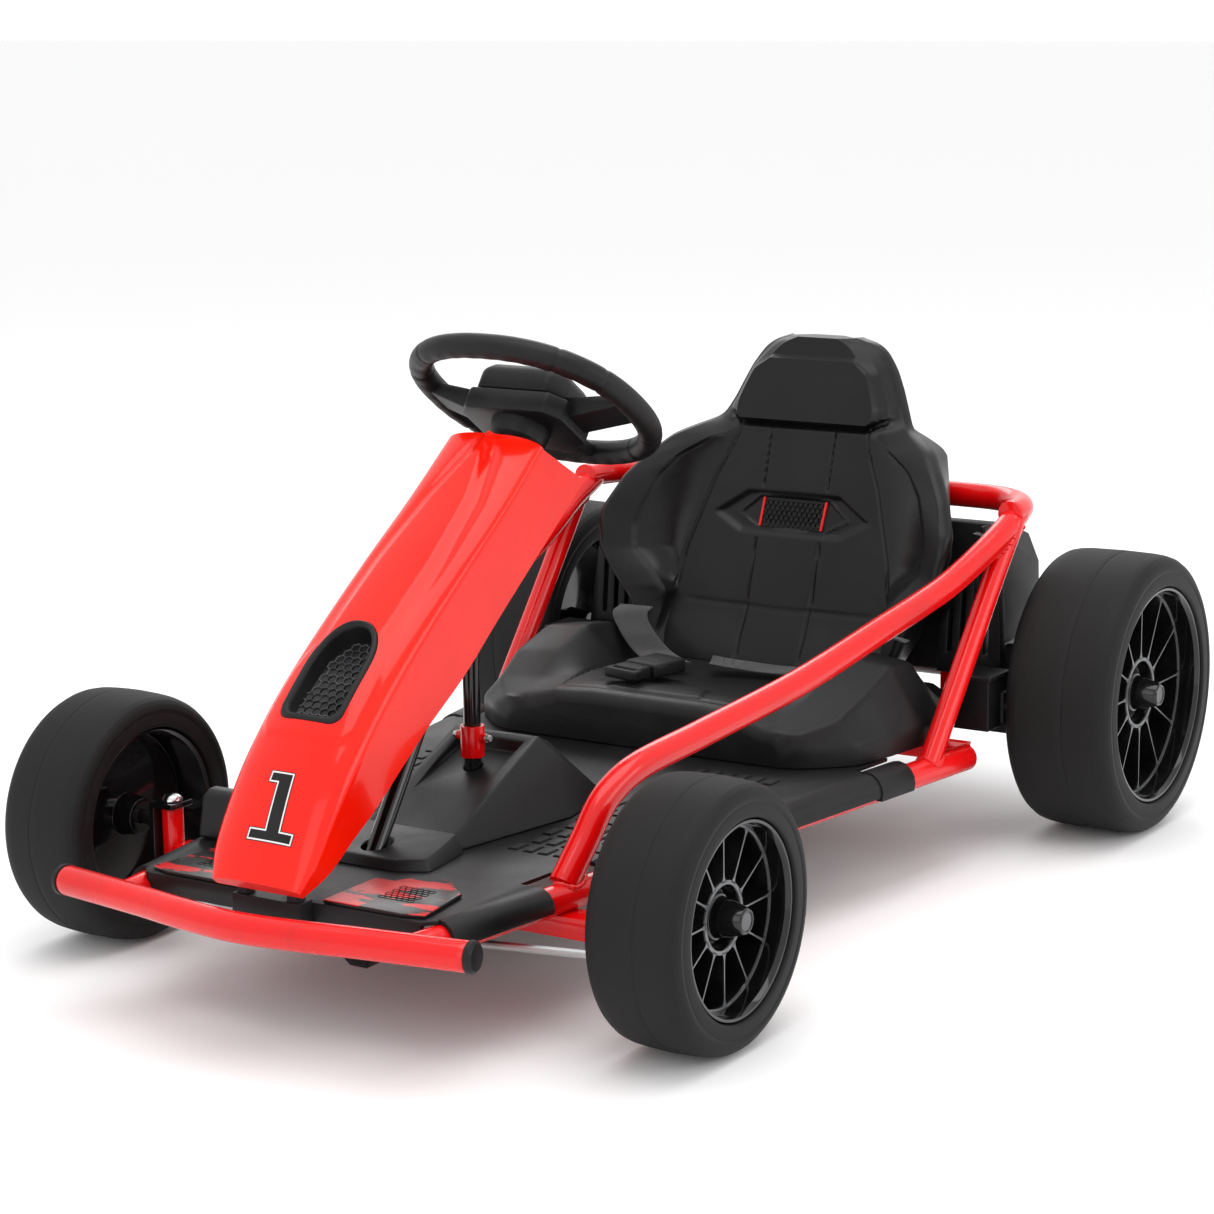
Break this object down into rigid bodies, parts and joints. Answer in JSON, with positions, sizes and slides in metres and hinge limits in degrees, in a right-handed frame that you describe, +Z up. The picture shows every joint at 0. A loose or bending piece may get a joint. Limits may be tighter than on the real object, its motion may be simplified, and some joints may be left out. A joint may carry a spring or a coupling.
{
  "type": "drift kart",
  "caption": "Child's electric drift kart: splayed tube frame with guard bars and rear hoop, nose shell, bucket seat, column steering and four slick-tyred wheels.",
  "frame": {"origin": "on the floor, under the middle of the kart's overall length and width", "axes": "+X forward, +Y to the driver's left, +Z up"},
  "size_m": [1.1158, 0.7448, 0.5354],
  "materials": {
    "red_paint": "gloss powder coat",
    "red_plastic": "high gloss",
    "black_plastic": "satin moulded",
    "black_gloss": "gloss",
    "black_metal": "gloss black enamel",
    "tyre": "slick, satin",
    "zinc": "zinc plated",
    "chrome": "polished",
    "webbing": "woven polyester"
  },
  "bodies": {
    "chassis": {"belt_left": "webbing", "belt_right": "webbing", "buckle": "black_plastic", "bumper_bar": "red_paint", "bumper_cap_left": "black_plastic", "bumper_cap_right": "black_plastic", "cross_tube_middle": "red_paint", "floor_pan": "black_plastic", "foot_pad_left": "black_plastic", "foot_pad_right": "black_plastic", "front_axle_beam": "red_paint", "gearbox_left": "black_plastic", "gearbox_right": "black_plastic", "guard_bar_left": "red_paint", "guard_bar_right": "red_paint", "louvre_left": "black_plastic", "louvre_right": "black_plastic", "lower_rail_left": "red_paint", "lower_rail_right": "red_paint", "nose_bracket": "black_plastic", "nose_intake": "black_plastic", "nose_shell": "red_plastic", "pedal_housing": "black_plastic", "post_socket": "red_paint", "rear_axle": "zinc", "rear_body": "black_plastic", "rear_hoop": "red_paint", "rear_subframe": "red_paint", "seat_back": "black_plastic", "seat_base": "black_plastic", "side_box_left": "black_plastic", "side_box_right": "black_plastic", "skid_block": "tyre", "steering_tunnel": "black_plastic", "strut_left": "red_paint", "strut_right": "red_paint", "support_post": "black_metal"},
    "steering": {"steering_column": "black_metal", "steering_wheel": "black_plastic", "hub_cover": "black_plastic"},
    "horn": {"horn_button": "red_plastic"},
    "pedal": {"accelerator_pedal": "black_plastic"},
    "hub_left": {"knuckle_left": "black_metal", "kingpin_left": "chrome"},
    "link_left": {"tie_rod_left": "zinc"},
    "wheel_front_left": {"tyre_front_left": "tyre", "rim_front_left": "black_gloss", "wheel_cap_front_left": "black_plastic"},
    "wheel_rear_left": {"tyre_rear_left": "tyre", "rim_rear_left": "black_gloss", "wheel_cap_rear_left": "black_plastic"},
    "hub_right": {"knuckle_right": "black_metal", "kingpin_right": "chrome"},
    "link_right": {"tie_rod_right": "zinc"},
    "wheel_front_right": {"tyre_front_right": "tyre", "rim_front_right": "black_gloss", "wheel_cap_front_right": "black_plastic"},
    "wheel_rear_right": {"tyre_rear_right": "tyre", "rim_rear_right": "black_gloss", "wheel_cap_rear_right": "black_plastic"}
  },
  "joints": [
    {"name": "steering_turn", "type": "hinge", "parent": "chassis", "child": "steering", "pos_m": [0.3664, 0, 0.117], "axis": [-0.5736, 0, 0.8192], "range_deg": [-35, 35]},
    {"name": "horn_press", "type": "slide", "parent": "steering", "child": "horn", "axis": [0.5736, 0, -0.8192], "range_m": [0, 0.003], "stiffness_N_per_m": 600, "springref_m": -0.002},
    {"name": "accelerator_press", "type": "hinge", "parent": "chassis", "child": "pedal", "pos_m": [0.3154, -0.118, 0.124], "axis": [0, 1, 0], "range_deg": [0, 18], "stiffness_Nm_per_rad": 2, "springref_deg": -8.59},
    {"name": "kingpin_turn_left", "type": "hinge", "parent": "chassis", "child": "hub_left", "pos_m": [0.3394, 0.237, 0.1], "axis": [0, 0, 1], "range_deg": [-25.5, 25.5]},
    {"name": "tie_rod_pivot_left", "type": "hinge", "parent": "hub_left", "child": "link_left", "pos_m": [0.3844, 0.237, 0.075], "axis": [0, 0, 1], "range_deg": [-25.5, 25.5]},
    {"name": "wheel_spin_front_left", "type": "hinge", "parent": "hub_left", "child": "wheel_front_left", "pos_m": [0.3394, 0.2984, 0.11], "axis": [0, 1, 0], "continuous": true},
    {"name": "wheel_spin_rear_left", "type": "hinge", "parent": "chassis", "child": "wheel_rear_left", "pos_m": [-0.4206, 0.3164, 0.1373], "axis": [0, 1, 0], "continuous": true},
    {"name": "kingpin_turn_right", "type": "hinge", "parent": "chassis", "child": "hub_right", "pos_m": [0.3394, -0.237, 0.1], "axis": [0, 0, 1], "range_deg": [-25.5, 25.5]},
    {"name": "tie_rod_pivot_right", "type": "hinge", "parent": "hub_right", "child": "link_right", "pos_m": [0.3844, -0.237, 0.075], "axis": [0, 0, 1], "range_deg": [-25.5, 25.5]},
    {"name": "wheel_spin_front_right", "type": "hinge", "parent": "hub_right", "child": "wheel_front_right", "pos_m": [0.3394, -0.2984, 0.11], "axis": [0, 1, 0], "continuous": true},
    {"name": "wheel_spin_rear_right", "type": "hinge", "parent": "chassis", "child": "wheel_rear_right", "pos_m": [-0.4206, -0.3164, 0.1373], "axis": [0, 1, 0], "continuous": true}
  ],
  "couplings": [
    {"joint": "kingpin_turn_left", "follows": "steering_turn", "ratio": 0.72},
    {"joint": "tie_rod_pivot_left", "follows": "steering_turn", "ratio": -0.72},
    {"joint": "kingpin_turn_right", "follows": "steering_turn", "ratio": 0.72},
    {"joint": "tie_rod_pivot_right", "follows": "steering_turn", "ratio": -0.72}
  ]
}
